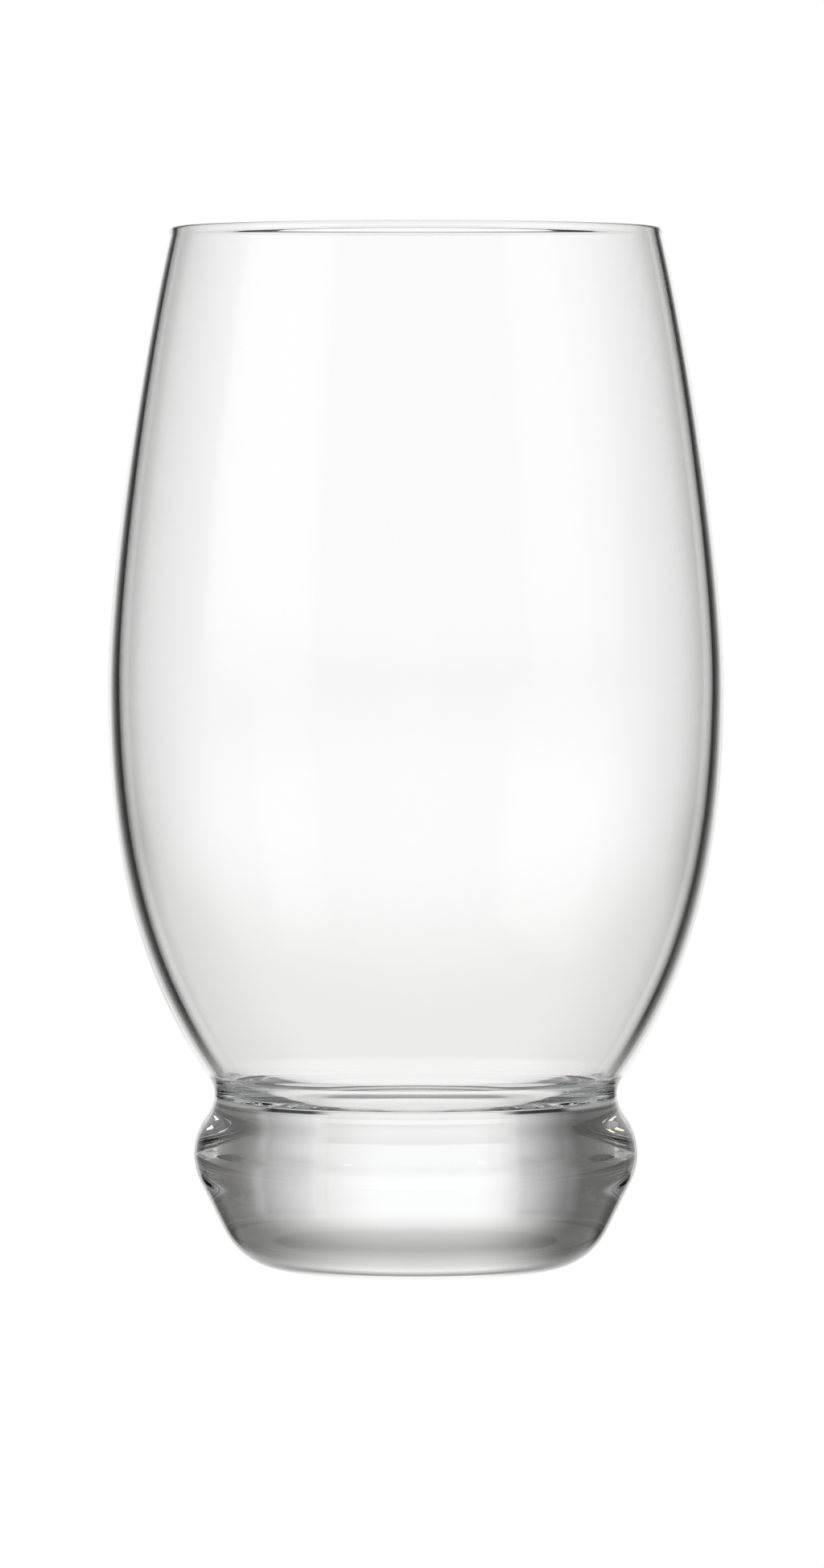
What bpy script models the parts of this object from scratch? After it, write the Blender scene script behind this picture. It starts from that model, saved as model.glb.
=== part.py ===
"""Tumbler: a thin blown barrel-shaped bowl, heat-welded at a waisted neck to a solid pressed foot.

Both pieces are bodies of revolution about the Z axis, in metres. The foot stands on a flat ring at
z = 0, the top of the rim is at z = HEIGHT, and the two pieces meet at the narrowest part of the neck.
"""

import math

import bmesh
import bpy
from mathutils import Vector
from mathutils.geometry import interpolate_bezier

# Whole glass
HEIGHT = 0.140

# Neck, the narrowest part: the bowl's underside sags into a dish in the top of the foot
NECK_RADIUS = 0.0271
NECK_HEIGHT = 0.02335
NECK_FILLET = 0.0044
WELD_SAG = 0.0015
WELD_GAP = 0.0003

# Bowl outside: flare above the neck, widest part and rim
NECK_FLARE = math.radians(34.7)
BELLY_RADIUS = 0.0414
BELLY_HEIGHT = 0.0783
RIM_RADIUS = 0.0330
RIM_LEAN = math.radians(13.6)

# Bowl fullness: how far each end of the two wall curves pulls, as a share of the curve's height
FLARE_PULL = 0.372
UNDER_BELLY_PULL = 0.340
OVER_BELLY_PULL = 0.245
RIM_PULL = 0.260

# Bowl inside: wall at the rim and at the floor, and the floor's height above the neck
RIM_WALL = 0.0010
FLOOR_WALL = 0.0019
FLOOR_RISE = 0.00115
FLOOR_CORNER = 0.0015

# Foot: shoulder measured out and down from the neck, heel, standing ring, shallow hollow underneath
SHOULDER_STEP = 0.0028
SHOULDER_DROP = 0.00795
HEEL_ROUND = 0.0091
STANDING_RADIUS = 0.0176
STANDING_WIDTH = 0.0031
HOLLOW_DEPTH = 0.0008

# Clear glass
GLASS_IOR = 1.52
BOWL_COLOUR = (0.97, 0.98, 0.98, 1.0)
BOWL_ROUGHNESS = 0.02
FOOT_COLOUR = (0.95, 0.97, 0.96, 1.0)
FOOT_ROUGHNESS = 0.03

# Fineness of the faceted surfaces
SEGMENTS = 60
WALL_STEPS = 10
ROUND_STEPS = 5
SHARP_ANGLE = math.radians(40)
MERGE_DISTANCE = 1e-6


def point(radius, height):
    """A point of a profile, which lies in the XZ plane."""
    return Vector((radius, 0.0, height))


def arc(centre, radius, start, end, steps):
    """Points of a circular arc, both ends included, with angles from the +X direction."""
    angles = [start + (end - start) * i / steps for i in range(steps + 1)]
    return [centre + radius * point(math.cos(a), math.sin(a)) for a in angles]


def dish(edge_radius, edge_height, sag, steps):
    """Points of a spherical dish from its edge to the axis, lower at the axis by sag."""
    sphere = (edge_radius**2 + sag**2) / (2 * abs(sag))
    reach = math.asin(edge_radius / sphere)
    side = math.copysign(1.0, sag)
    points = []
    for i in range(steps + 1):
        turn = reach * (1 - i / steps)
        drop = sphere * (math.cos(turn) - math.cos(reach))
        points.append(point(sphere * math.sin(turn), edge_height - side * drop))
    return points


def rounded_corner(before, corner, after, radius, steps):
    """Points of the arc that rounds off the corner between two straight lines."""
    back = (before - corner).normalized()
    onward = (after - corner).normalized()
    half = back.angle(onward) / 2
    centre = corner + (back + onward).normalized() * radius / math.sin(half)
    reach = radius / math.tan(half)
    first = corner + back * reach - centre
    last = corner + onward * reach - centre
    return [centre + radius * first.slerp(last, i / steps) for i in range(steps + 1)]


def neck_fillet_centre():
    """Centre of the hollow rounding around the neck, which the bowl and the foot share."""
    return point(NECK_RADIUS + NECK_FILLET, NECK_HEIGHT)


def weld_edge_turn():
    """Angle by which half the weld's gap moves a piece's edge along the neck fillet."""
    return math.asin(WELD_GAP / 2 / NECK_FILLET)


def bowl_wall():
    """Outer wall of the bowl from the rim down to the start of the neck fillet."""
    lip = RIM_WALL / 2
    rim = point(RIM_RADIUS, HEIGHT - lip + lip * math.sin(RIM_LEAN))
    belly = point(BELLY_RADIUS, BELLY_HEIGHT)
    neck = neck_fillet_centre() + NECK_FILLET * point(-math.cos(NECK_FLARE), math.sin(NECK_FLARE))
    upper = rim.z - belly.z
    lower = belly.z - neck.z
    top = interpolate_bezier(
        rim,
        rim + RIM_PULL * upper * point(math.sin(RIM_LEAN), -math.cos(RIM_LEAN)),
        belly + OVER_BELLY_PULL * upper * point(0, 1),
        belly,
        WALL_STEPS + 1,
    )
    bottom = interpolate_bezier(
        belly,
        belly - UNDER_BELLY_PULL * lower * point(0, 1),
        neck + FLARE_PULL * lower * point(math.sin(NECK_FLARE), math.cos(NECK_FLARE)),
        neck,
        WALL_STEPS + 1,
    )
    return top + bottom[1:]


def bowl_inside(wall):
    """Inner wall from just under the rim down to the rounded edge of the floor.

    The wall gets thicker evenly with depth, from RIM_WALL to FLOOR_WALL.
    """
    floor = point(0, NECK_HEIGHT + FLOOR_RISE)
    inside = []
    for i in range(1, len(wall)):
        ahead = wall[min(i + 1, len(wall) - 1)]
        along = (ahead - wall[i - 1]).normalized()
        depth = (wall[0].z - wall[i].z) / (wall[0].z - floor.z)
        thickness = RIM_WALL + (FLOOR_WALL - RIM_WALL) * depth
        inside.append(wall[i] + thickness * point(along.z, -along.x))
    along = (inside[-1] - inside[-2]).normalized()
    corner = inside[-1] + along * (floor.z - inside[-1].z) / along.z
    edge = rounded_corner(inside[-1], corner, floor, FLOOR_CORNER, ROUND_STEPS)
    return inside + edge + [floor]


def bowl_profile():
    """Profile of the bowl: floor, inner wall upwards, lip, outer wall down to the neck, welded underside."""
    wall = bowl_wall()
    inside = bowl_inside(wall)
    lip_centre = wall[0] - RIM_WALL / 2 * point(math.cos(RIM_LEAN), math.sin(RIM_LEAN))
    lip = arc(lip_centre, RIM_WALL / 2, math.pi + RIM_LEAN, RIM_LEAN, ROUND_STEPS)
    weld_edge = math.pi - weld_edge_turn()
    fillet = arc(neck_fillet_centre(), NECK_FILLET, math.pi - NECK_FLARE, weld_edge, ROUND_STEPS)
    underside = dish(fillet[-1].x, fillet[-1].z, WELD_SAG, ROUND_STEPS)
    return inside[::-1] + lip + wall[1:] + fillet[1:] + underside[1:]


def foot_profile():
    """Profile of the foot: dished top, neck fillet, shoulder, taper, heel, standing ring, hollow.

    The shoulder's rounding is the one that meets the neck fillet smoothly, and the taper is the
    straight line that touches both the shoulder and the heel.
    """
    shoulder_round = (SHOULDER_STEP**2 + SHOULDER_DROP**2) / (2 * SHOULDER_STEP) - NECK_FILLET
    shoulder_centre = point(
        NECK_RADIUS + SHOULDER_STEP - shoulder_round,
        NECK_HEIGHT - SHOULDER_DROP,
    )
    heel_centre = point(STANDING_RADIUS, HEEL_ROUND)

    to_fillet = neck_fillet_centre() - shoulder_centre
    shoulder_top = math.atan2(to_fillet.z, to_fillet.x)
    to_shoulder = shoulder_centre - heel_centre
    lean = math.acos((HEEL_ROUND - shoulder_round) / to_shoulder.length)
    taper = math.atan2(to_shoulder.z, to_shoulder.x) - lean

    weld_edge = math.pi + weld_edge_turn()
    fillet = arc(neck_fillet_centre(), NECK_FILLET, weld_edge, math.pi + shoulder_top, ROUND_STEPS)
    seat = dish(fillet[0].x, fillet[0].z, WELD_SAG, ROUND_STEPS)
    shoulder = arc(shoulder_centre, shoulder_round, shoulder_top, taper, 2 * ROUND_STEPS)
    heel = arc(heel_centre, HEEL_ROUND, taper, -math.pi / 2, ROUND_STEPS)
    hollow = dish(STANDING_RADIUS - STANDING_WIDTH, 0.0, -HOLLOW_DEPTH, ROUND_STEPS)
    return seat[::-1] + fillet[1:] + shoulder[1:] + heel + hollow


def glass(name, colour, roughness):
    """A clear glass material."""
    material = bpy.data.materials.new(name)
    material.use_nodes = True
    shader = material.node_tree.nodes["Principled BSDF"]
    shader.inputs["Base Color"].default_value = colour
    shader.inputs["Roughness"].default_value = roughness
    shader.inputs["Metallic"].default_value = 0.0
    shader.inputs["IOR"].default_value = GLASS_IOR
    shader.inputs["Transmission Weight"].default_value = 1.0
    return material


def revolve(name, profile, material):
    """Turn a profile once around the Z axis into a closed solid of its own."""
    shape = bmesh.new()
    corners = [shape.verts.new(p) for p in profile]
    edges = [shape.edges.new(pair) for pair in zip(corners, corners[1:])]
    bmesh.ops.spin(
        shape,
        geom=corners + edges,
        cent=(0.0, 0.0, 0.0),
        axis=(0.0, 0.0, 1.0),
        angle=math.tau,
        steps=SEGMENTS,
        use_merge=True,
    )
    bmesh.ops.remove_doubles(shape, verts=shape.verts, dist=MERGE_DISTANCE)
    bmesh.ops.recalc_face_normals(shape, faces=shape.faces)
    mesh = bpy.data.meshes.new(name)
    shape.to_mesh(mesh)
    shape.free()
    mesh.materials.append(material)
    mesh.shade_smooth()
    mesh.set_sharp_from_angle(angle=SHARP_ANGLE)
    solid = bpy.data.objects.new(name, mesh)
    bpy.context.scene.collection.objects.link(solid)
    return solid


def build():
    """Make the foot and the bowl that it carries in an empty scene."""
    for old in list(bpy.data.objects):
        bpy.data.objects.remove(old)
    foot = revolve("foot", foot_profile(), glass("foot_glass", FOOT_COLOUR, FOOT_ROUGHNESS))
    bowl = revolve("bowl", bowl_profile(), glass("bowl_glass", BOWL_COLOUR, BOWL_ROUGHNESS))
    bowl.parent = foot


build()
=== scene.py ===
"""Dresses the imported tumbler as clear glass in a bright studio.

The file is laid out as a Blender add-on and is run as a script. The bowl and the foot are fine surfaces
of revolution in the places of their solids, and a panel in the sidebar lists the sizes and the finishes.
"""

import math

import bpy
import numpy as np
from bpy.props import FloatProperty, FloatVectorProperty, IntProperty, PointerProperty
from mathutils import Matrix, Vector


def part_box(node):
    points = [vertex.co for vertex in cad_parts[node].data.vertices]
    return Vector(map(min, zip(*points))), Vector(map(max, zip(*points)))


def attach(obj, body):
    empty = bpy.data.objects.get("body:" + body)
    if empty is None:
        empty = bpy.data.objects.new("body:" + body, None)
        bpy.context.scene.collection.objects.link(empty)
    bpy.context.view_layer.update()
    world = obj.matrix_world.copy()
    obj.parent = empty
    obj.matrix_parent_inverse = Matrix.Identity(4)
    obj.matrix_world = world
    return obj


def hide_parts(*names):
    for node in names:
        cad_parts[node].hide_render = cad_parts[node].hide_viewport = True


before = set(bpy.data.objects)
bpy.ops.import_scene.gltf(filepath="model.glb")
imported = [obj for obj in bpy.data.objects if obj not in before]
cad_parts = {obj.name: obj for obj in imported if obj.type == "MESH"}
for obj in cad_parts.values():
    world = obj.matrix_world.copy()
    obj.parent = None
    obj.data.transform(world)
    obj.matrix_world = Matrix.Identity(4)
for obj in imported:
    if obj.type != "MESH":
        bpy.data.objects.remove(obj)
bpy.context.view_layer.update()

bl_info = {
    "name": "Clear glass tumbler",
    "version": (1, 0, 0),
    "blender": (4, 5, 0),
    "location": "3D View > Sidebar > Tumbler",
    "description": "A blown bowl on a solid pressed foot, in clear glass, with its studio",
    "category": "Add Mesh",
}

BOWL_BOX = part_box("bowl")
FOOT_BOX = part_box("foot")

# Gap that stands in for the weld between the two solids, with the neck in its middle
SOLIDS_WELD_GAP = 0.0003

# Bowl fullness: how far each end of the two wall curves pulls, as a share of the curve's height
RIM_PULL = 0.260
OVER_BELLY_PULL = 0.245
UNDER_BELLY_PULL = 0.340
FLARE_PULL = 0.372

# Weld rings: how far they reach from the weld, and the spacing and share of the wide and the fine ones
RINGS_REACH = 0.0024
WIDE_RINGS = 0.0009
WIDE_SHARE = 0.6
FINE_RINGS = 0.00055
FINE_SHARE = 0.4

# Foot: how far the bends in its side are softened, and how flat the weld's dish and the hollow are
SIDE_SOFTENING = 0.0007
WELD_DISH_POWER = 8
HOLLOW_POWER = 2

# Fineness of the profiles, in steps along each run, and the angle from which an edge is sharp
WALL_STEPS = 60
LIP_STEPS = 24
WALL_FOOT_STEPS = 6
CORNER_STEPS = 14
FLOOR_STEPS = 12
FILLET_STEPS = 60
WELD_STEPS = 16
SHOULDER_STEPS = 40
TAPER_STEPS = 8
HEEL_STEPS = 32
FOOT_SIDE_STEPS = 260
STANDING_STEPS = 4
HOLLOW_STEPS = 12
SHARP_ANGLE = math.radians(30)

# Glass: the waves of blowing, drawn out along the axis, and the worn standing ring
WAVE_STRETCH = (1.0, 1.0, 0.3)
WAVE_SCALE = 70.0
WAVE_DETAIL = 1.0
WORN_HEIGHT = 0.0003
WORN_ROUGHNESS = 0.25

# Place of the weld's own material on each piece, after the glass
WELD_MATERIAL = 1

# Softboxes: distance from the axis, colours, and how an even glow runs across and up their faces
LIGHT_DISTANCE = 1.2
WHITE = (1.0, 1.0, 1.0)
WARM = (1.0, 0.80, 0.50)
COOL = (0.70, 0.86, 1.0)
EVEN_ACROSS = [(0.0, 0.0), (0.12, 0.9), (0.2, 1.0), (0.8, 1.0), (0.88, 0.9), (1.0, 0.0)]
EVEN_UP = [(0.0, 0.0), (0.2, 0.8), (0.3, 1.0), (0.9, 1.0), (1.0, 0.5)]

# Studio glow behind the glass: its brightness, and the colour of its dimmest light
GLOW = 1.05
DIM_LIGHT = (1.0, 0.98, 0.93, 1.0)
FULL_LIGHT = (1.0, 1.0, 1.0, 1.0)

# Borders of the glow, by direction: start, end and the share of the light before the start
GLOW_LEFT = (-0.62, -0.17, 0.10)
GLOW_RIGHT = (0.76, 0.08, 0.14)
GLOW_LOW = (-0.09, -0.055, 0.86)
GLOW_LOWEST = (-0.20, -0.09, 1.08)
GLOW_HIGH = (0.42, 0.08, 0.55)
GLOW_TOP = (0.70, 0.38, 0.25)

# Dark zone low on both sides of the studio: where each border starts and ends, and how dark it gets
DARK_INNER = (0.26, 0.36)
DARK_OUTER = (0.60, 0.52)
DARK_BOTTOM = (-0.42, -0.30)
DARK_TOP = (0.24, 0.12)
DARKNESS = 0.95

# Softboxes that fill the dark zone for the foot: angle in degrees, height, size and brightness
FILL_ANGLE = 32
FILL_RISE = 0.035
FILL_SIZE = (0.836, 0.51)
FILL_LEFT = 0.73
FILL_RIGHT = 0.88

# Their faces: where the glow starts on the inner side, how it runs up, and the points of a curve across
FILL_INNER = (0.25, 0.345)
FILL_UP = [(0.0, 0.0), (0.06, 1.0), (0.745, 1.0), (0.886, 0.5), (1.0, 0.0)]
FILL_POINTS = 31

# Studio borders: from the low light to the glow, from the floor to the front, and from front to back
LOW_BORDER = (-0.30, -0.10)
FRONT_BORDER = (-0.20, 0.05)
BACK_BORDER = (-0.15, 0.30)

# Floor: half its side, its height, and the strip of painted white light behind the glass that widens
# backwards and fades outwards, and the slant over which the floor turns to painted shade behind on both
# sides
FLOOR_REACH = 9.0
FLOOR_HEIGHT = -0.0005
STRIP_HALF_WIDTH = 0.062
STRIP_WIDENING = 0.055
STRIP_FADE = 0.45
FAR_SLANT = (0.10, 0.60)


class TumblerShape(bpy.types.PropertyGroup):
    """Sizes of the bowl and the foot."""

    height: FloatProperty(
        name="Height", description="From the standing ring to the rim", unit="LENGTH", default=BOWL_BOX[1].z
    )
    rim_radius: FloatProperty(
        name="Rim radius", description="Outside of the wall at the rim", unit="LENGTH", default=0.0330
    )
    rim_lean: FloatProperty(
        name="Rim lean", description="How far the wall leans in at the rim",
        subtype="ANGLE", default=math.radians(13.6),
    )
    belly_radius: FloatProperty(
        name="Belly radius", description="Widest part of the bowl", unit="LENGTH", default=BOWL_BOX[1].x
    )
    belly_height: FloatProperty(
        name="Belly height", description="Where the bowl is widest", unit="LENGTH", default=0.0783
    )
    neck_radius: FloatProperty(
        name="Neck radius", description="Narrowest part, where the bowl meets the foot",
        unit="LENGTH", default=0.0271,
    )
    neck_height: FloatProperty(
        name="Neck height", description="Where the glass is narrowest",
        unit="LENGTH", default=FOOT_BOX[1].z + SOLIDS_WELD_GAP / 2,
    )
    neck_fillet: FloatProperty(
        name="Neck fillet", description="Hollow rounding around the neck", unit="LENGTH", default=0.0044
    )
    neck_flare: FloatProperty(
        name="Neck flare", description="How far the wall leans out above the neck",
        subtype="ANGLE", default=math.radians(34.7),
    )
    rim_wall: FloatProperty(
        name="Rim wall", description="Thickness of the glass at the rim", unit="LENGTH", default=0.0010
    )
    floor_wall: FloatProperty(
        name="Floor wall", description="Thickness of the wall just above the floor",
        unit="LENGTH", default=0.0019,
    )
    floor_rise: FloatProperty(
        name="Floor rise", description="Height of the inner floor above the neck",
        unit="LENGTH", default=-0.0010,
    )
    floor_corner: FloatProperty(
        name="Floor corner", description="Rounding where the inner wall meets the floor",
        unit="LENGTH", default=0.0010,
    )
    weld_sag: FloatProperty(
        name="Weld sag", description="How far the bowl's underside sags into the foot",
        unit="LENGTH", default=0.0015,
    )
    weld_gap: FloatProperty(
        name="Weld gap", description="Hairline between the two fused pieces", unit="LENGTH", default=0.00002
    )
    ripple: FloatProperty(
        name="Weld rings", description="Depth of the fine rings around the weld",
        unit="LENGTH", default=0.00001, precision=6,
    )
    shoulder_radius: FloatProperty(
        name="Shoulder radius", description="Widest part of the foot", unit="LENGTH", default=FOOT_BOX[1].x
    )
    shoulder_drop: FloatProperty(
        name="Shoulder drop", description="How far the shoulder lies below the neck",
        unit="LENGTH", default=0.00795,
    )
    heel_round: FloatProperty(
        name="Heel rounding", description="Rounding between the side and the standing ring",
        unit="LENGTH", default=0.0091,
    )
    standing_radius: FloatProperty(
        name="Standing radius", description="Outer edge of the standing ring", unit="LENGTH", default=0.0176
    )
    standing_width: FloatProperty(
        name="Standing width", description="Width of the standing ring", unit="LENGTH", default=0.0031
    )
    hollow_depth: FloatProperty(
        name="Hollow depth", description="Depth of the hollow under the foot", unit="LENGTH", default=0.0008
    )
    segments: IntProperty(
        name="Segments", description="Faces around the axis", default=256, min=64, max=320
    )


class TumblerGlass(bpy.types.PropertyGroup):
    """Finish of the glass."""

    colour: FloatVectorProperty(
        name="Colour", description="Colour of the clear glass", subtype="COLOR", size=4,
        default=(1.0, 1.0, 1.0, 1.0),
    )
    ior: FloatProperty(
        name="Refraction", description="Index of refraction of soda-lime glass", default=1.52
    )
    tint: FloatVectorProperty(
        name="Tint", description="Colour that thick glass takes on", subtype="COLOR", size=4,
        default=(0.86, 0.90, 0.88, 1.0),
    )
    tint_density: FloatProperty(
        name="Tint density", description="How strongly the glass takes on its tint, per metre", default=4.0
    )
    wave_height: FloatProperty(
        name="Wave height", description="Height of the faint waves that blowing leaves",
        unit="LENGTH", default=0.000008, precision=7,
    )


class TumblerStage(bpy.types.PropertyGroup):
    """Camera, floor and light."""

    camera_distance: FloatProperty(
        name="Camera distance", description="From the axis of the glass", unit="LENGTH", default=1.084
    )
    camera_height: FloatProperty(
        name="Camera height", description="Above the floor", unit="LENGTH", default=0.1078
    )
    aim_height: FloatProperty(
        name="Aim height", description="Where the middle of the picture meets the axis",
        unit="LENGTH", default=0.0652,
    )
    aim_side: FloatProperty(
        name="Aim side", description="How far the middle of the picture lies to the right of the axis",
        unit="LENGTH", default=-0.00051,
    )
    lens: FloatProperty(
        name="Lens", description="Focal length in millimetres", default=185.0
    )
    front: FloatProperty(
        name="Front", description="Brightness of the studio behind the camera", default=0.22
    )
    # The floor only glows. These three levels paint its light and shade, and the last two also set the
    # studio's light below the horizon.
    painted_strip_light: FloatProperty(
        name="Floor glow", description="Brightness of the lit floor", default=1.01
    )
    floor_far: FloatProperty(
        name="Floor far", description="Brightness of the floor further out", default=0.80
    )
    floor_dark: FloatProperty(
        name="Floor dark", description="Brightness of the floor behind the glass on both sides",
        default=0.42,
    )


def bezier(start, start_pull, end_pull, end, steps):
    """Cubic curve from start to end, drawn towards two pulls, at steps + 1 even values of t.

    The four points are weighted by (1-t)^3, 3(1-t)^2 t, 3(1-t) t^2 and t^3.
    """
    t = np.linspace(0.0, 1.0, steps + 1)[:, None]
    weights = np.hstack([(1 - t) ** 3, 3 * (1 - t) ** 2 * t, 3 * (1 - t) * t**2, t**3])
    return weights @ np.array([start, start_pull, end_pull, end])


def arc(centre, radius, start, end, steps):
    """Circular arc: centre plus radius times (cos a, sin a) for steps + 1 even angles a."""
    a = np.linspace(start, end, steps + 1)
    return np.asarray(centre) + radius * np.column_stack([np.cos(a), np.sin(a)])


def line(start, end, steps):
    """Straight run of steps + 1 even points."""
    return np.linspace(start, end, steps + 1)


def dish(edge, sag, power, steps):
    """Dish from its edge to the axis: it drops by sag times 1 minus a power of the share of the radius."""
    share = np.linspace(1.0, 0.0, steps + 1)
    return np.column_stack([edge[0] * share, edge[1] - sag * (1 - share**power)])


def run_along(curve):
    """Length of a curve from its start to each of its points, added up from point to point."""
    return np.concatenate([[0.0], np.cumsum(np.linalg.norm(np.diff(curve, axis=0), axis=1))])


def normals_of(curve):
    """Unit normals to the right of a curve's direction, from differences between neighbouring points."""
    along = np.gradient(curve, axis=0)
    along /= np.linalg.norm(along, axis=1)[:, None]
    return np.column_stack([along[:, 1], -along[:, 0]])


def eased(curve, steps, spread):
    """Curve with its bends softened: even points along the run, averaged under a bell curve.

    The spread is the bell's own. Beyond both ends the curve is carried on by turning it half a turn
    about the end point, and the bell is cut off at three times its spread.
    """
    run = run_along(curve)
    even = np.linspace(0.0, run[-1], steps + 1)
    points = np.column_stack([np.interp(even, run, curve[:, 0]), np.interp(even, run, curve[:, 1])])
    reach = int(3 * spread / even[1]) + 1
    before = 2 * points[0] - points[reach:0:-1]
    after = 2 * points[-1] - points[-2:-reach - 2:-1]
    longer = np.vstack([before, points, after])
    bell = np.exp(-0.5 * (np.arange(-reach, reach + 1) * even[1] / spread) ** 2)
    bell /= bell.sum()
    return np.column_stack([np.convolve(along_axis, bell, "valid") for along_axis in longer.T])


def rippled(curve, height):
    """Fine rings of the weld: the curve sinks towards the axis by waves that fade from its welded end.

    The waves are sin squared of the run from that end, in two spacings, and the fade is a smooth step.
    """
    run = run_along(curve)
    run = run[-1] - run
    near = np.clip(1.0 - run / RINGS_REACH, 0.0, 1.0)
    fade = near**2 * (3 - 2 * near)
    wide = np.sin(math.pi * run / WIDE_RINGS) ** 2
    fine = np.sin(math.pi * run / FINE_RINGS) ** 2
    waves = WIDE_SHARE * wide + FINE_SHARE * fine
    inward = np.array([-1.0, 0.0])
    return curve + (height * fade * waves)[:, None] * inward


def outer_wall(s):
    """Outside of the bowl from rim to neck: two cubic curves that meet upright at the widest part."""
    lip = s.rim_wall / 2
    rim = np.array([s.rim_radius, s.height - lip + lip * math.sin(s.rim_lean)])
    belly = np.array([s.belly_radius, s.belly_height])
    neck = np.array([
        s.neck_radius + s.neck_fillet * (1 - math.cos(s.neck_flare)),
        s.neck_height + s.neck_fillet * math.sin(s.neck_flare),
    ])
    up = np.array([0.0, 1.0])
    upper = rim[1] - belly[1]
    lower = belly[1] - neck[1]
    down_rim = np.array([math.sin(s.rim_lean), -math.cos(s.rim_lean)])
    up_neck = np.array([math.sin(s.neck_flare), math.cos(s.neck_flare)])
    top = bezier(
        rim, rim + RIM_PULL * upper * down_rim, belly + OVER_BELLY_PULL * upper * up, belly, WALL_STEPS
    )
    bottom = bezier(
        belly, belly - UNDER_BELLY_PULL * lower * up, neck + FLARE_PULL * lower * up_neck, neck, WALL_STEPS
    )
    return np.vstack([top, bottom[1:]])


def inner_wall(s, wall):
    """Inside of the bowl from rim to floor: the outside moved in by a wall that thickens with depth.

    The wall's thickness grows evenly from the rim to the floor, and an arc rounds the floor's corner.
    """
    floor = s.neck_height + s.floor_rise
    depth = (wall[0, 1] - wall[:, 1]) / (wall[0, 1] - floor)
    thickness = s.rim_wall + (s.floor_wall - s.rim_wall) * depth
    inside = wall + thickness[:, None] * normals_of(wall)
    along = inside[-1] - inside[-2]
    along /= np.linalg.norm(along)
    corner = inside[-1] + along * (floor - inside[-1, 1]) / along[1]
    turn = math.pi / 2 - math.atan2(-along[0], -along[1])
    reach = s.floor_corner * math.tan(turn / 2)
    edge = corner - np.array([reach, 0.0])
    centre = edge + np.array([0.0, s.floor_corner])
    rounding = arc(centre, s.floor_corner, turn - math.pi / 2, -math.pi / 2, CORNER_STEPS)
    straight = line(inside[-1], rounding[0], WALL_FOOT_STEPS)
    flat = line(edge, [0.0, floor], FLOOR_STEPS)
    return np.vstack([inside, straight[1:], rounding[1:], flat[1:]])


def bowl_profile(s):
    """Profile of the bowl from its floor over the rim to the weld, and the number of rows in the weld."""
    wall = outer_wall(s)
    inside = inner_wall(s, wall)
    lip = s.rim_wall / 2
    centre = wall[0] - lip * np.array([math.cos(s.rim_lean), math.sin(s.rim_lean)])
    rim = arc(centre, lip, math.pi + s.rim_lean, s.rim_lean, LIP_STEPS)
    weld = math.asin(s.weld_gap / 2 / s.neck_fillet)
    neck_centre = [s.neck_radius + s.neck_fillet, s.neck_height]
    fillet = arc(neck_centre, s.neck_fillet, math.pi - s.neck_flare, math.pi - weld, FILLET_STEPS)
    fillet = rippled(fillet, s.ripple)
    underside = dish(fillet[-1], s.weld_sag, WELD_DISH_POWER, WELD_STEPS)
    return np.vstack([inside[:0:-1], rim, wall[1:], fillet[1:], underside[1:]]), len(underside) - 1


def foot_profile(s):
    """Profile of the foot from the weld over shoulder and heel to the hollow, and the rows in the weld.

    The shoulder's rounding meets the neck fillet smoothly, and the side is the line that touches both
    the shoulder and the heel.
    """
    step = s.shoulder_radius - s.neck_radius
    shoulder_round = (step**2 + s.shoulder_drop**2) / (2 * step) - s.neck_fillet
    neck_centre = np.array([s.neck_radius + s.neck_fillet, s.neck_height])
    shoulder_centre = np.array([s.shoulder_radius - shoulder_round, s.neck_height - s.shoulder_drop])
    heel_centre = np.array([s.standing_radius, s.heel_round])
    across = neck_centre - shoulder_centre
    shoulder_top = math.atan2(across[1], across[0])
    across = shoulder_centre - heel_centre
    lean = math.acos((s.heel_round - shoulder_round) / np.linalg.norm(across))
    taper = math.atan2(across[1], across[0]) - lean

    weld = math.asin(s.weld_gap / 2 / s.neck_fillet)
    fillet = arc(neck_centre, s.neck_fillet, math.pi + weld, math.pi + shoulder_top, FILLET_STEPS)
    shoulder = arc(shoulder_centre, shoulder_round, shoulder_top, taper, SHOULDER_STEPS)
    heel = arc(heel_centre, s.heel_round, taper, -math.pi / 2, HEEL_STEPS)
    side = line(shoulder[-1], heel[0], TAPER_STEPS)
    outside = np.vstack([fillet, shoulder[1:], side[1:], heel[1:]])
    outside = eased(outside, FOOT_SIDE_STEPS, SIDE_SOFTENING)
    outside = np.maximum(rippled(outside[::-1], s.ripple)[::-1], 0.0)

    seat = dish(fillet[0], s.weld_sag, WELD_DISH_POWER, WELD_STEPS)
    ring = np.array([s.standing_radius - s.standing_width, 0.0])
    base = line(outside[-1], ring, STANDING_STEPS)
    hollow = dish(ring, -s.hollow_depth, HOLLOW_POWER, HOLLOW_STEPS)
    return np.vstack([seat[::-1], outside[1:], base[1:], hollow[1:]]), len(seat) - 1


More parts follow.
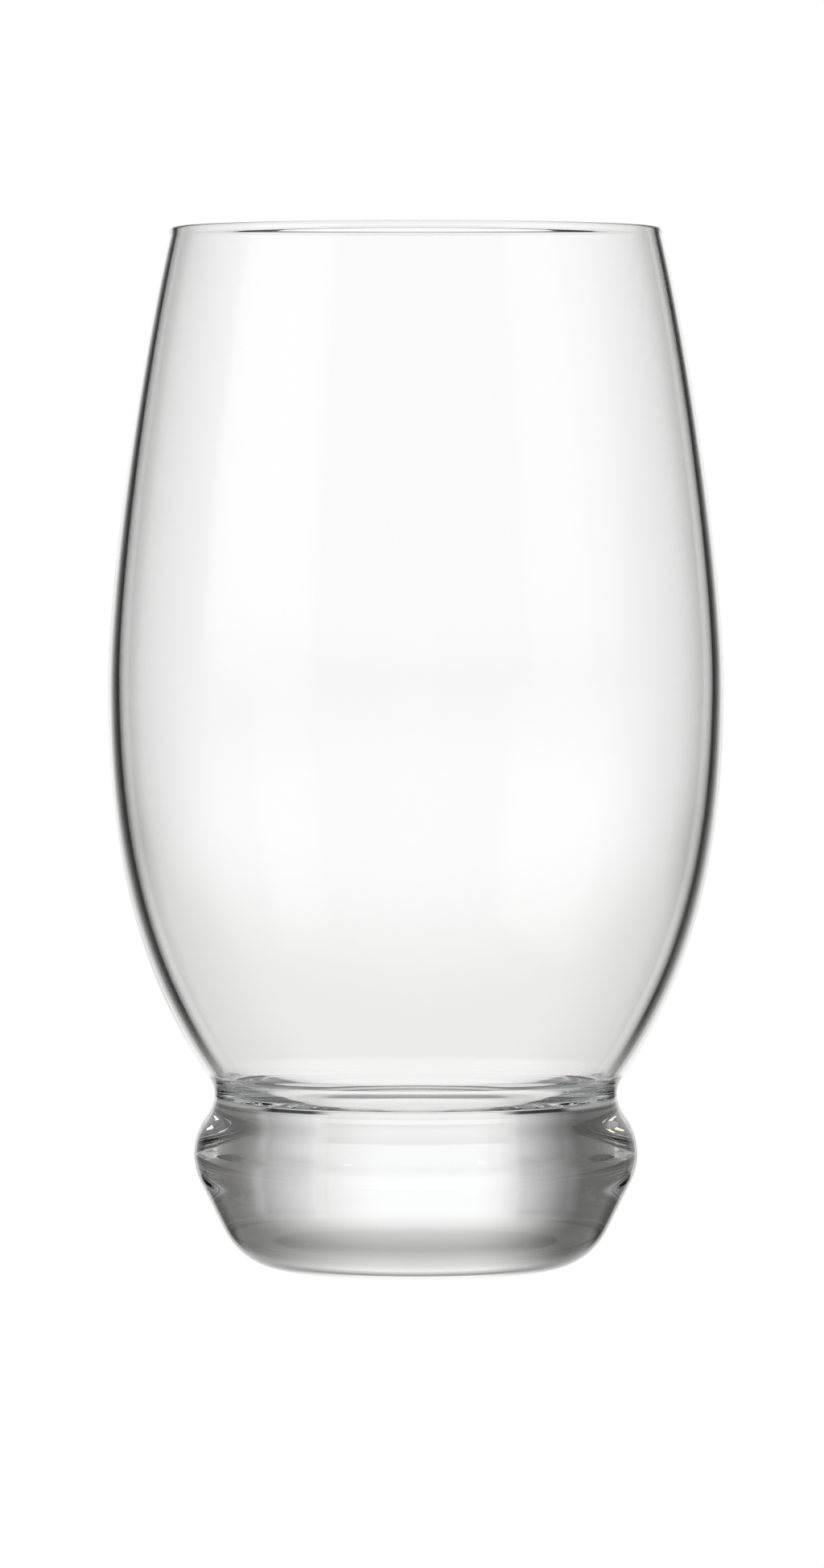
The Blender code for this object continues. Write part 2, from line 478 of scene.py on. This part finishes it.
def turned_mesh(name, profile, segments):
    """Profile carried once around the Z axis: (r, z) at angle a goes to (r cos a, r sin a, z).

    Both ends of the profile lie on the axis, where one point closes the surface.
    """
    angle = np.linspace(0.0, math.tau, segments, endpoint=False)
    radius, height = profile[1:-1, 0], profile[1:-1, 1]
    rings = np.stack([
        np.outer(radius, np.cos(angle)),
        np.outer(radius, np.sin(angle)),
        np.repeat(height[:, None], segments, axis=1),
    ], axis=-1)
    ends = np.array([[0.0, 0.0, profile[0, 1]], [0.0, 0.0, profile[-1, 1]]])
    points = np.vstack([rings.reshape(-1, 3), ends])

    index = np.arange(len(radius) * segments).reshape(len(radius), segments)
    after = np.roll(index, -1, axis=1)
    quads = np.stack([index[:-1], index[1:], after[1:], after[:-1]], axis=-1).reshape(-1, 4)
    first = np.full(segments, len(points) - 2)
    last = np.full(segments, len(points) - 1)
    start_fan = np.column_stack([first, index[0], after[0]])
    end_fan = np.column_stack([index[-1], last, after[-1]])

    mesh = bpy.data.meshes.new(name)
    mesh.from_pydata(points.tolist(), [], start_fan.tolist() + quads.tolist() + end_fan.tolist())
    mesh.update()
    mesh.shade_smooth()
    mesh.set_sharp_from_angle(angle=SHARP_ANGLE)
    return mesh


def clear_glass(name, look):
    """Clear glass with the faint waves of blowing, a worn standing ring and a slight tint in the thick."""
    material = bpy.data.materials.new(name)
    material.use_nodes = True
    nodes = material.node_tree.nodes
    links = material.node_tree.links
    shader = nodes["Principled BSDF"]
    shader.inputs["Base Color"].default_value = look.colour
    shader.inputs["IOR"].default_value = look.ior
    shader.inputs["Transmission Weight"].default_value = 1.0

    place = nodes.new("ShaderNodeTexCoord")
    stretch = nodes.new("ShaderNodeMapping")
    stretch.inputs["Scale"].default_value = WAVE_STRETCH
    links.new(place.outputs["Object"], stretch.inputs["Vector"])
    wave = nodes.new("ShaderNodeTexNoise")
    wave.inputs["Scale"].default_value = WAVE_SCALE
    wave.inputs["Detail"].default_value = WAVE_DETAIL
    links.new(stretch.outputs["Vector"], wave.inputs["Vector"])
    bump = nodes.new("ShaderNodeBump")
    bump.inputs["Strength"].default_value = 1.0
    bump.inputs["Distance"].default_value = look.wave_height
    links.new(wave.outputs["Fac"], bump.inputs["Height"])
    links.new(bump.outputs["Normal"], shader.inputs["Normal"])

    axes = nodes.new("ShaderNodeSeparateXYZ")
    links.new(place.outputs["Object"], axes.inputs["Vector"])
    worn = nodes.new("ShaderNodeMapRange")
    worn.inputs["From Min"].default_value = 0.0
    worn.inputs["From Max"].default_value = WORN_HEIGHT
    worn.inputs["To Min"].default_value = WORN_ROUGHNESS
    worn.inputs["To Max"].default_value = 0.0
    links.new(axes.outputs["Z"], worn.inputs["Value"])
    links.new(worn.outputs["Result"], shader.inputs["Roughness"])

    depth = nodes.new("ShaderNodeVolumeAbsorption")
    depth.inputs["Color"].default_value = look.tint
    depth.inputs["Density"].default_value = look.tint_density
    links.new(depth.outputs["Volume"], nodes["Material Output"].inputs["Volume"])
    return material


def fused_face(name):
    """The face inside the weld, where glass runs on into glass and nothing shows."""
    material = bpy.data.materials.new(name)
    material.use_nodes = True
    material.node_tree.nodes["Principled BSDF"].inputs["Alpha"].default_value = 0.0
    return material


def place_piece(mesh, node):
    """Put a piece in its solid's place, on the body that carries it."""
    piece = bpy.data.objects.new(mesh.name, mesh)
    bpy.context.scene.collection.objects.link(piece)
    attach(piece, "root")
    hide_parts(node)
    return piece


class TUMBLER_OT_bowl(bpy.types.Operator):
    """Make the thin blown bowl."""

    bl_idname = "tumbler.bowl"
    bl_label = "Bowl"

    def execute(self, context):
        shape = context.scene.tumbler_shape
        profile, weld_rows = bowl_profile(shape)
        mesh = turned_mesh("blown_bowl", profile, shape.segments)
        mesh.materials.append(clear_glass("blown_glass", context.scene.tumbler_glass))
        mesh.materials.append(fused_face("bowl_weld"))
        faces = np.zeros(len(mesh.polygons), dtype=np.int32)
        faces[-weld_rows * shape.segments:] = WELD_MATERIAL
        mesh.polygons.foreach_set("material_index", faces)
        place_piece(mesh, "bowl")
        return {"FINISHED"}


class TUMBLER_OT_foot(bpy.types.Operator):
    """Make the solid pressed foot."""

    bl_idname = "tumbler.foot"
    bl_label = "Foot"

    def execute(self, context):
        shape = context.scene.tumbler_shape
        profile, weld_rows = foot_profile(shape)
        mesh = turned_mesh("pressed_foot", profile, shape.segments)
        mesh.materials.append(clear_glass("pressed_glass", context.scene.tumbler_glass))
        mesh.materials.append(fused_face("foot_weld"))
        faces = np.zeros(len(mesh.polygons), dtype=np.int32)
        faces[:weld_rows * shape.segments] = WELD_MATERIAL
        mesh.polygons.foreach_set("material_index", faces)
        place_piece(mesh, "foot")
        return {"FINISHED"}


def feed(links, socket, value):
    """Give an input another socket's value, or a number or colour of its own."""
    if isinstance(value, bpy.types.NodeSocket):
        links.new(value, socket)
    else:
        socket.default_value = value


def maths(nodes, links, operation, first, second):
    """One step of arithmetic on a socket and a socket or a number."""
    step = nodes.new("ShaderNodeMath")
    step.operation = operation
    feed(links, step.inputs[0], first)
    feed(links, step.inputs[1], second)
    return step.outputs["Value"]


def soft_step(nodes, links, value, start, end, low=0.0, high=1.0):
    """Smooth change from low to high while a socket's value goes from start to end."""
    step = nodes.new("ShaderNodeMapRange")
    step.interpolation_type = "SMOOTHSTEP"
    step.inputs["From Min"].default_value = start
    step.inputs["From Max"].default_value = end
    step.inputs["To Min"].default_value = low
    step.inputs["To Max"].default_value = high
    links.new(value, step.inputs["Value"])
    return step.outputs["Result"]


def blended(nodes, links, kind, share, first, second):
    """Two colours put together; the share and the colours are sockets or values of their own."""
    blend = nodes.new("ShaderNodeMix")
    blend.data_type = "RGBA"
    blend.blend_type = kind
    feed(links, blend.inputs[0], share)
    feed(links, blend.inputs[6], first)
    feed(links, blend.inputs[7], second)
    return blend.outputs[2]


def dark_zone(nodes, links, across, up):
    """Share of light that the zone low on both sides leaves: 1 minus a product of four soft borders."""
    aside = maths(nodes, links, "ABSOLUTE", across, 0.0)
    inner = soft_step(nodes, links, aside, *DARK_INNER)
    outer = soft_step(nodes, links, aside, *DARK_OUTER)
    bottom = soft_step(nodes, links, up, *DARK_BOTTOM)
    top = soft_step(nodes, links, up, *DARK_TOP)
    width = maths(nodes, links, "MULTIPLY", inner, outer)
    height = maths(nodes, links, "MULTIPLY", bottom, top)
    zone = maths(nodes, links, "MULTIPLY", width, height)
    return maths(nodes, links, "ADD", maths(nodes, links, "MULTIPLY", zone, -DARKNESS), 1.0)


def studio_world(settings):
    """Dim studio with a soft glow behind the glass that fades to both sides and upwards.

    The glow is the product of its soft borders, and its dim light is a little warmer. Low down on both
    sides the studio is dark, which draws the dark lines along the bowl's edges.
    """
    world = bpy.data.worlds.new("studio")
    bpy.context.scene.world = world
    world.use_nodes = True
    nodes = world.node_tree.nodes
    links = world.node_tree.links
    place = nodes.new("ShaderNodeTexCoord")
    axes = nodes.new("ShaderNodeSeparateXYZ")
    links.new(place.outputs["Generated"], axes.inputs["Vector"])
    across = axes.outputs["X"]
    back = axes.outputs["Y"]
    up = axes.outputs["Z"]

    level = soft_step(nodes, links, across, *GLOW_LEFT)
    level = maths(nodes, links, "MULTIPLY", level, soft_step(nodes, links, across, *GLOW_RIGHT))
    for border in (GLOW_LOWEST, GLOW_LOW, GLOW_HIGH, GLOW_TOP):
        level = maths(nodes, links, "MULTIPLY", level, soft_step(nodes, links, up, *border))
    glow = blended(nodes, links, "MIX", level, DIM_LIGHT, FULL_LIGHT)
    glow = blended(nodes, links, "MULTIPLY", 1.0, glow, maths(nodes, links, "MULTIPLY", level, GLOW))

    low = soft_step(nodes, links, up, *LOW_BORDER, settings.floor_dark, 0.0)
    glow = blended(nodes, links, "LIGHTEN", 1.0, glow, low)
    glow = blended(nodes, links, "MULTIPLY", 1.0, glow, dark_zone(nodes, links, across, up))
    front = soft_step(nodes, links, up, *FRONT_BORDER, settings.floor_far, settings.front)
    behind = soft_step(nodes, links, back, *BACK_BORDER)
    links.new(blended(nodes, links, "MIX", behind, front, glow), nodes["Background"].inputs["Color"])


def soft_border(value, start, end, share=0.0):
    """Share of light at a border: share + (1 - share) t^2 (3 - 2t), where t runs from start to end."""
    t = np.clip((value - start) / (end - start), 0.0, 1.0)
    return share + (1.0 - share) * t**2 * (3 - 2 * t)


def fill_across(angle, width):
    """Curve across a softbox that fills the dark zone: the glow's borders times the zone's own.

    The place u on the face is seen at the softbox's angle plus atan((1/2 - u) width / distance), and
    the sine of that is the direction across.
    """
    place = np.linspace(0.0, 1.0, FILL_POINTS)
    across = np.sin(math.radians(angle) + np.arctan((0.5 - place) * width / LIGHT_DISTANCE))
    glow = soft_border(across, *GLOW_LEFT) * soft_border(across, *GLOW_RIGHT)
    zone = soft_border(np.abs(across), *FILL_INNER) * soft_border(np.abs(across), *DARK_OUTER)
    return np.column_stack([place, glow * zone]).tolist()


def draw_curve(node, points):
    """Set a curve node to run through the given points."""
    line_points = node.mapping.curves[0].points
    while len(line_points) < len(points):
        line_points.new(0.5, 0.5)
    for line_point, place in zip(line_points, points):
        line_point.location = place
    node.mapping.update()


def softbox(name, angle, rise, size, level, colour, across, upright):
    """Rectangular softbox around the glass, whose glow follows one curve across and one up its face.

    The angle is in degrees from straight behind the glass, positive to the right.
    """
    data = bpy.data.lights.new(name, "AREA")
    data.shape = "RECTANGLE"
    data.size = size[0]
    data.size_y = size[1]
    data.energy = math.pi * size[0] * size[1] * level
    data.color = colour
    data.use_nodes = True
    nodes = data.node_tree.nodes
    links = data.node_tree.links
    place = nodes.new("ShaderNodeNewGeometry")
    axes = nodes.new("ShaderNodeSeparateXYZ")
    links.new(place.outputs["Parametric"], axes.inputs["Vector"])
    sides = nodes.new("ShaderNodeFloatCurve")
    draw_curve(sides, across)
    links.new(axes.outputs["X"], sides.inputs["Value"])
    ends = nodes.new("ShaderNodeFloatCurve")
    draw_curve(ends, upright)
    links.new(axes.outputs["Y"], ends.inputs["Value"])
    strength = maths(nodes, links, "MULTIPLY", sides.outputs["Value"], ends.outputs["Value"])
    links.new(strength, nodes["Emission"].inputs["Strength"])
    light = bpy.data.objects.new(name, data)
    bpy.context.scene.collection.objects.link(light)
    turn = math.radians(angle)
    outwards = Vector((math.sin(turn), math.cos(turn), 0.0))
    light.location = LIGHT_DISTANCE * outwards + Vector((0.0, 0.0, rise))
    light.rotation_euler = (-outwards).to_track_quat("-Z", "Y").to_euler()
    light.visible_camera = False
    return light


def room_lights():
    """Two softboxes in front of the glass, on the left and on the right."""
    softbox(
        "softbox_left", angle=-118, rise=0.40, size=(1.10, 0.80), level=0.36,
        colour=WHITE, across=EVEN_ACROSS, upright=EVEN_UP,
    )
    softbox(
        "softbox_right", angle=124, rise=0.40, size=(0.60, 0.80), level=0.24,
        colour=WHITE, across=EVEN_ACROSS, upright=EVEN_UP,
    )


def foot_lights():
    """Lights for the foot alone: two softboxes that fill the dark zone, and two small lamps in front."""
    lights = [
        softbox(
            "foot_softbox_left", angle=-FILL_ANGLE, rise=FILL_RISE, size=FILL_SIZE, level=FILL_LEFT,
            colour=WHITE, across=fill_across(-FILL_ANGLE, FILL_SIZE[0]), upright=FILL_UP,
        ),
        softbox(
            "foot_softbox_right", angle=FILL_ANGLE, rise=FILL_RISE, size=FILL_SIZE, level=FILL_RIGHT,
            colour=WHITE, across=fill_across(FILL_ANGLE, FILL_SIZE[0]), upright=FILL_UP,
        ),
        softbox(
            "foot_lamp_left", angle=-145, rise=0.14, size=(0.12, 0.10), level=2.2,
            colour=WARM, across=EVEN_ACROSS, upright=EVEN_UP,
        ),
        softbox(
            "foot_lamp_right", angle=146, rise=0.22, size=(0.12, 0.10), level=2.0,
            colour=COOL, across=EVEN_ACROSS, upright=EVEN_UP,
        ),
    ]
    foot_only = bpy.data.collections.new("foot_only")
    foot_only.objects.link(bpy.data.objects["pressed_foot"])
    for light in lights:
        light.light_linking.receiver_collection = foot_only


def floor_with_painted_light(settings):
    """Glowing floor with painted light: white around the glass and in the strip behind it, fading outwards
    into painted shade, darkest far behind.

    The strip's border is where the distance to the side equals a half width that grows backwards.
    """
    material = bpy.data.materials.new("pale_floor")
    material.use_nodes = True
    nodes = material.node_tree.nodes
    links = material.node_tree.links
    shader = nodes["Principled BSDF"]
    shader.inputs["Base Color"].default_value = (0.0, 0.0, 0.0, 1.0)
    shader.inputs["Specular IOR Level"].default_value = 0.0
    shader.inputs["Emission Color"].default_value = (1.0, 1.0, 1.0, 1.0)

    # Painted light and shade: the floor's glow is white in the strip behind the glass, dimmer outside it,
    # and darkest behind on both sides.
    place = nodes.new("ShaderNodeTexCoord")
    axes = nodes.new("ShaderNodeSeparateXYZ")
    links.new(place.outputs["Object"], axes.inputs["Vector"])
    aside = maths(nodes, links, "ABSOLUTE", axes.outputs["X"], 0.0)
    border = maths(nodes, links, "MULTIPLY", axes.outputs["Y"], -STRIP_WIDENING)
    border = maths(nodes, links, "ADD", border, -STRIP_HALF_WIDTH)
    border = maths(nodes, links, "ADD", aside, border)
    slant = maths(nodes, links, "DIVIDE", axes.outputs["Y"], aside)
    outside = soft_step(nodes, links, slant, *FAR_SLANT, settings.floor_far, settings.floor_dark)
    level = soft_step(nodes, links, border, 0.0, STRIP_FADE, settings.painted_strip_light)
    links.new(outside, level.node.inputs["To Max"])
    links.new(level, shader.inputs["Emission Strength"])
    return material


def pale_floor(settings):
    """Square floor under the glass, which only the camera sees."""
    corners = [(-1, -1), (1, -1), (1, 1), (-1, 1)]
    mesh = bpy.data.meshes.new("floor")
    mesh.from_pydata([(x * FLOOR_REACH, y * FLOOR_REACH, FLOOR_HEIGHT) for x, y in corners], [], [range(4)])
    mesh.materials.append(floor_with_painted_light(settings))
    floor = bpy.data.objects.new("floor", mesh)
    bpy.context.scene.collection.objects.link(floor)
    floor.visible_transmission = False
    floor.visible_glossy = False
    floor.visible_diffuse = False


def studio_camera(settings):
    """Camera a little below the rim, looking slightly down at the glass."""
    data = bpy.data.cameras.new("camera")
    data.lens = settings.lens
    data.sensor_width = 36.0
    data.clip_end = 50.0
    camera = bpy.data.objects.new("camera", data)
    bpy.context.scene.collection.objects.link(camera)
    camera.location = (0.0, -settings.camera_distance, settings.camera_height)
    aim = Vector((settings.aim_side, 0.0, settings.aim_height)) - camera.location
    camera.rotation_euler = aim.to_track_quat("-Z", "Y").to_euler()
    bpy.context.scene.camera = camera


class TUMBLER_OT_stage(bpy.types.Operator):
    """Make the pale floor, the studio light and the camera."""

    bl_idname = "tumbler.stage"
    bl_label = "Stage"

    def execute(self, context):
        scene = context.scene
        settings = scene.tumbler_stage
        studio_world(settings)
        pale_floor(settings)
        room_lights()
        foot_lights()
        studio_camera(settings)
        scene.view_settings.view_transform = "Standard"
        scene.cycles.max_bounces = 32
        scene.cycles.transmission_bounces = 32
        scene.cycles.glossy_bounces = 16
        scene.cycles.transparent_max_bounces = 24
        return {"FINISHED"}


class TUMBLER_PT_sidebar(bpy.types.Panel):
    """Sizes and finishes of the tumbler, with a button for each piece."""

    bl_idname = "TUMBLER_PT_sidebar"
    bl_label = "Tumbler"
    bl_space_type = "VIEW_3D"
    bl_region_type = "UI"
    bl_category = "Tumbler"

    def draw(self, context):
        for operator in (TUMBLER_OT_bowl, TUMBLER_OT_foot, TUMBLER_OT_stage):
            self.layout.operator(operator.bl_idname)
        scene = context.scene
        for group in (scene.tumbler_shape, scene.tumbler_glass, scene.tumbler_stage):
            column = self.layout.column(align=True)
            for name in group.__annotations__:
                column.prop(group, name)


CLASSES = (
    TumblerShape,
    TumblerGlass,
    TumblerStage,
    TUMBLER_OT_bowl,
    TUMBLER_OT_foot,
    TUMBLER_OT_stage,
    TUMBLER_PT_sidebar,
)


def register():
    """Make the classes and the tumbler's settings known to Blender."""
    for cls in CLASSES:
        bpy.utils.register_class(cls)
    bpy.types.Scene.tumbler_shape = PointerProperty(type=TumblerShape)
    bpy.types.Scene.tumbler_glass = PointerProperty(type=TumblerGlass)
    bpy.types.Scene.tumbler_stage = PointerProperty(type=TumblerStage)


def unregister():
    """Take the settings and the classes out again, in the opposite order."""
    del bpy.types.Scene.tumbler_stage
    del bpy.types.Scene.tumbler_glass
    del bpy.types.Scene.tumbler_shape
    for cls in reversed(CLASSES):
        bpy.utils.unregister_class(cls)


def main():
    """Make every piece and the stage."""
    register()
    bpy.ops.tumbler.bowl()
    bpy.ops.tumbler.foot()
    bpy.ops.tumbler.stage()


if __name__ == "__main__":
    main()
